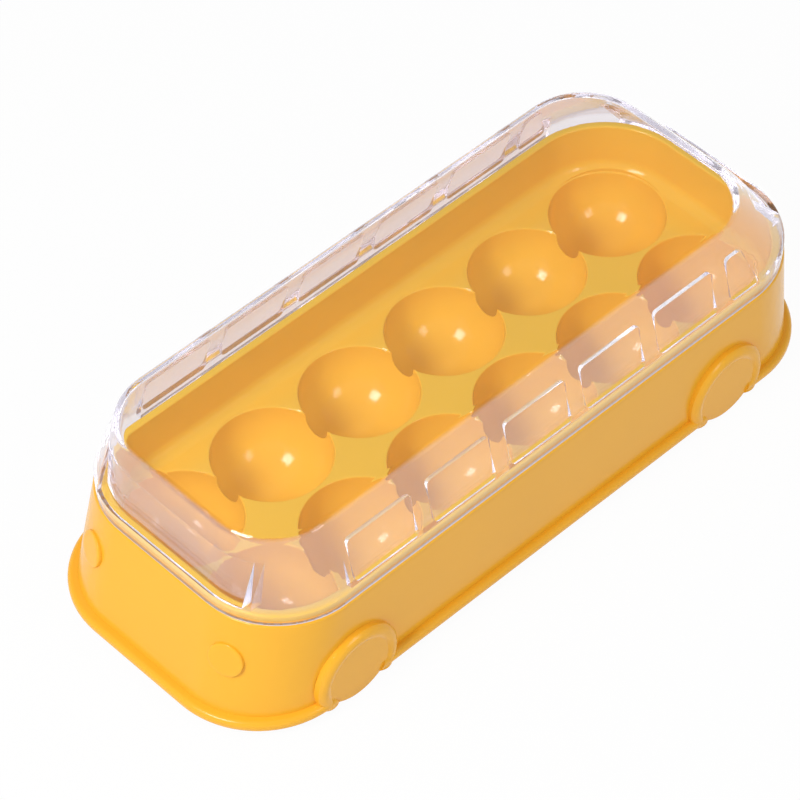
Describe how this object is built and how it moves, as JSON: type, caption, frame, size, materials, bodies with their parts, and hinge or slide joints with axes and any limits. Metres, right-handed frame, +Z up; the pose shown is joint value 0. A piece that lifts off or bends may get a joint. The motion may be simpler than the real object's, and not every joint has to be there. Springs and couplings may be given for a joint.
{
  "type": "egg holder",
  "caption": "Bus-shaped egg holder: a yellow skirted body on moulded wheels carries a drop-in tray of round egg cups under a clear lift-off lid with recessed windows.",
  "frame": {"origin": "on the surface that the wheels stand on, below the middle of the bottom bead", "axes": "+X along the bus towards its raked windscreen, +Y across it, +Z up"},
  "size_m": [0.322, 0.1308, 0.09],
  "materials": {
    "body_plastic": "satin gloss, moulded",
    "tray_plastic": "gloss, moulded",
    "clear_plastic": "clear, polished"
  },
  "bodies": {
    "base": {"bus_body": "body_plastic", "egg_tray": "tray_plastic"},
    "lid": {"clear_lid": "clear_plastic"}
  },
  "joints": [
    {"name": "lid_lift", "type": "slide", "parent": "base", "child": "lid", "axis": [0, 0, 1], "range_m": [0, 0.07]}
  ]
}
